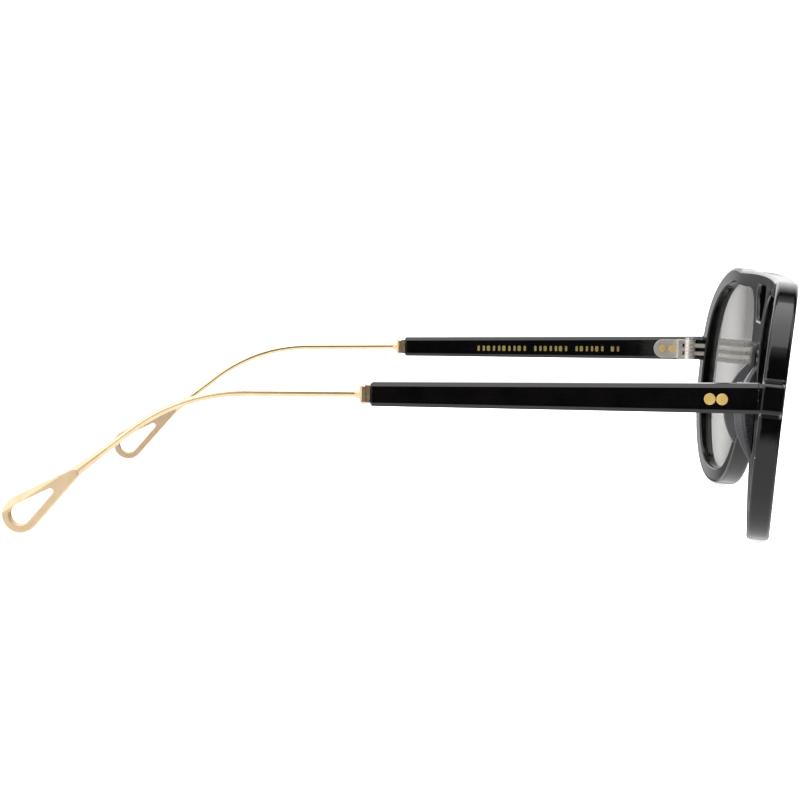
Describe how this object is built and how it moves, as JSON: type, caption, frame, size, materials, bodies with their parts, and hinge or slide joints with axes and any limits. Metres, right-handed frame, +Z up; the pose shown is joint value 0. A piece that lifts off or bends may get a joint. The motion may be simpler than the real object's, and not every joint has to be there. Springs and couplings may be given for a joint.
{
  "type": "sunglasses",
  "caption": "Pilot-shaped sunglasses with a double-bridge front, slim folding side arms that end in looped metal wire tips, and barrel hinges.",
  "frame": {"origin": "on the surface the glasses stand on, on the mirror plane, midway between the foremost and rearmost points", "axes": "+Z up, -Y the way the wearer looks, +X the wearer's left"},
  "size_m": [0.1396, 0.1508, 0.0497],
  "materials": {
    "black_acetate": "polished",
    "grey_lens": "polished",
    "pale_gold": "polished gold plate",
    "rivet_gold": "polished gold plate",
    "hinge_metal": "nickel-plated, satin",
    "screw_metal": "bright"
  },
  "bodies": {
    "front": {"front": "black_acetate", "left_lens": "grey_lens", "left_nose_pad": "black_acetate", "left_hinge_front_leaf": "hinge_metal", "right_lens": "grey_lens", "right_nose_pad": "black_acetate", "right_hinge_front_leaf": "hinge_metal"},
    "left_temple": {"left_hinge_temple_leaf": "hinge_metal", "left_hinge_screw": "screw_metal", "left_front_rivet": "rivet_gold", "left_rear_rivet": "rivet_gold", "left_temple": "black_acetate", "left_ferrule": "pale_gold", "left_wire_tip": "pale_gold"},
    "right_temple": {"right_hinge_temple_leaf": "hinge_metal", "right_hinge_screw": "screw_metal", "right_front_rivet": "rivet_gold", "right_rear_rivet": "rivet_gold", "right_temple": "black_acetate", "right_ferrule": "pale_gold", "right_wire_tip": "pale_gold"}
  },
  "joints": [
    {"name": "left_temple_fold", "type": "hinge", "parent": "front", "child": "left_temple", "pos_m": [0.06435, -0.06125, 0.02915], "axis": [0, 0, 1], "range_deg": [0, 88]},
    {"name": "right_temple_fold", "type": "hinge", "parent": "front", "child": "right_temple", "pos_m": [-0.06435, -0.06125, 0.02915], "axis": [0, 0, -1], "range_deg": [0, 82]}
  ]
}
